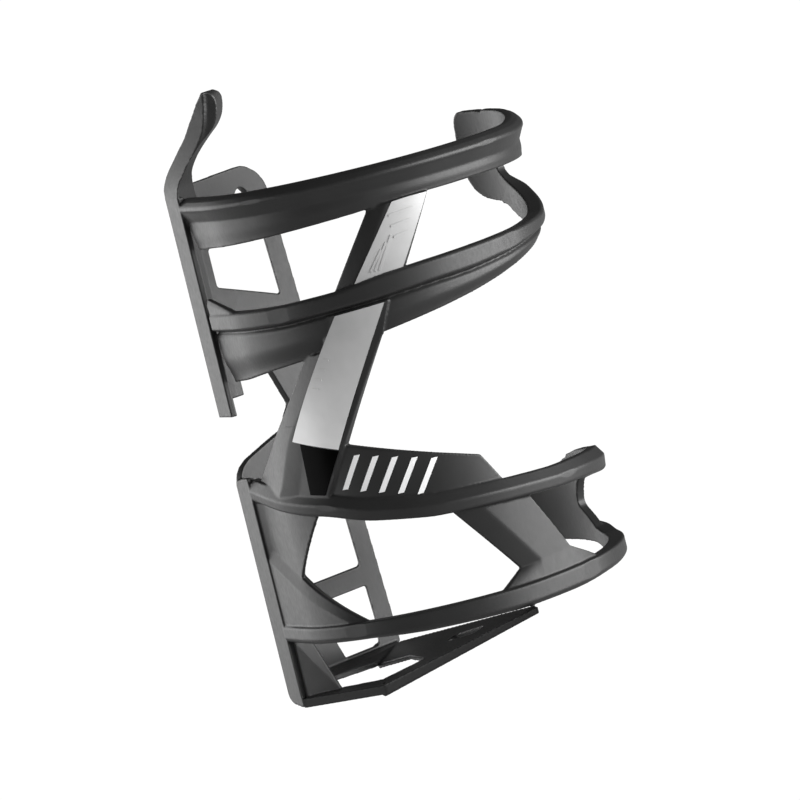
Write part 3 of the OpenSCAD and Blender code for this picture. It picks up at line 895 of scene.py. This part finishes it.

# the moulding's two halves take the carbon, and the plain parts they stand for are hidden
for o in (upper, lower):
    paint(o, carbon)
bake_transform(upper)
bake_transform(lower)
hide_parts("upper_mount", "upper_spine", "upper_side_bar", "cross_web", "retaining_tab",
            "upper_loop", "upper_loop_arm", "second_loop", "second_loop_arm", "upper_end_web",
            "loop_gusset", "upper_strut", "diagonal_strut", "strut_cap")
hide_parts("lower_mount", "lower_side_bar", "lower_spine", "brace_bar", "corner_panel",
            "side_wall", "label_wall", "lower_rim", "lower_rim_arm", "lower_band", "lower_band_arm",
            "lower_end_web", "band_gusset", "lower_strut", "floor_rail", "floor_rear", "floor_tongue",
            "floor_edge", "floor_gusset")
decals = ((foil_pieces[0], foil, "foil", "upper_foil"), (foil_pieces[1], foil, "foil", "lower_foil"),
          (black_piece, black, "gloss_black", "black_foil"),
          (print_piece, white, "print_white", "label_print"))
for o, look, slot, node in decals:
    paint(o, look)
    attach(o, "moulding")
    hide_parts(node)


# ---------------------------------------------------------------- floor, light
FLOOR_SEEN = 1.05
FLOOR_GLOW = 0.5
FLOOR_DROP = 0.12   # the cage hangs above the floor, so that the floor lights it from below


def make_floor():
    """A pale floor that shows white and lights the cage only softly."""
    m, nodes, links, shader = material("pale_floor")
    cloud = noise(nodes, links, 3.0)
    colour = tint(nodes, links, cloud, 0.97, 1.0)
    rays = nodes.new("ShaderNodeLightPath")
    links.new(colour, shader.inputs["Emission Color"])
    strength = nodes.new("ShaderNodeMapRange")
    strength.inputs["To Min"].default_value = FLOOR_GLOW
    strength.inputs["To Max"].default_value = FLOOR_SEEN
    links.new(rays.outputs["Is Camera Ray"], strength.inputs["Value"])
    links.new(strength.outputs["Result"], shader.inputs["Emission Strength"])
    shader.inputs["Base Color"].default_value = (0, 0, 0, 1)
    shader.inputs["Specular IOR Level"].default_value = 0.0
    bm = bmesh.new()
    bmesh.ops.create_circle(bm, cap_ends=True, segments=96, radius=14)
    me = bpy.data.meshes.new("floor")
    bm.to_mesh(me)
    bm.free()
    o = bpy.data.objects.new("floor", me)
    o.location = (0, 0, cad_box[0][2] - FLOOR_DROP)
    bpy.context.scene.collection.objects.link(o)
    me.materials.append(m)


def softbox(name, azimuth, elevation, distance, width, height, radiance):
    """A rectangular light aimed at the cage; azimuth 0 is +X and 90 is +Y."""
    az, el = math.radians(azimuth), math.radians(elevation)
    light = bpy.data.lights.new(name, "AREA")
    light.shape = "RECTANGLE"
    light.size, light.size_y = width, height
    light.energy = radiance * math.pi * width * height
    o = bpy.data.objects.new(name, light)
    way = Vector((math.cos(az) * math.cos(el), math.sin(az) * math.cos(el), math.sin(el)))
    o.location = Vector((0, AXIS_Y * MM, -0.01)) + way * distance
    o.rotation_euler = way.to_track_quat("Z", "Y").to_euler()
    bpy.context.scene.collection.objects.link(o)


make_camera()
make_floor()
softbox("left_softbox", -71, 2, 0.9, 1.4, 0.9, 3.1)
softbox("right_softbox", 110, 2, 0.9, 1.25, 0.9, 9.8)
world = bpy.data.worlds.new("studio")
world.use_nodes = True
world.node_tree.nodes["Background"].inputs["Color"].default_value = (1, 1, 1, 1)
world.node_tree.nodes["Background"].inputs["Strength"].default_value = 0.06
bpy.context.scene.world = world
bpy.context.scene.view_settings.view_transform = "Standard"
